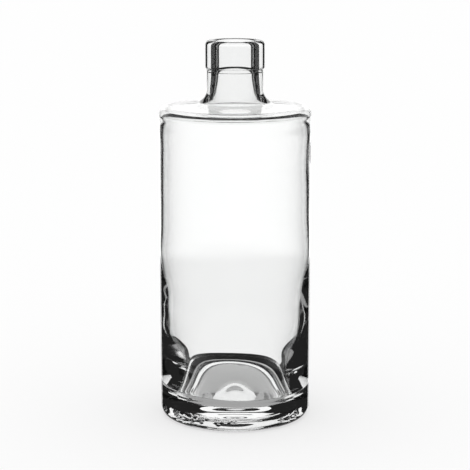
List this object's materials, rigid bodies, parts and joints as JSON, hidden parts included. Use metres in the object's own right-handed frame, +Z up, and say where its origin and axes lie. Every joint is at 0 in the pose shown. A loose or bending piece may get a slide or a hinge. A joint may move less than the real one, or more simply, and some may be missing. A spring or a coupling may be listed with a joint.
{
  "type": "liquor bottle",
  "caption": "Clear glass cylinder bottle for spirits with a flat shoulder, a short collared neck for a cork and a heavy base with a low push-up.",
  "frame": {"origin": "centre of the foot ring that the bottle stands on", "axes": "+Z up along the bottle's axis of turning, towards the mouth; X and Y are any two level directions"},
  "size_m": [0.076, 0.076, 0.19],
  "materials": {
    "clear_glass": "polished clear flint glass"
  },
  "bodies": {
    "root": {"glass_bottle": "clear_glass"}
  },
  "joints": []
}
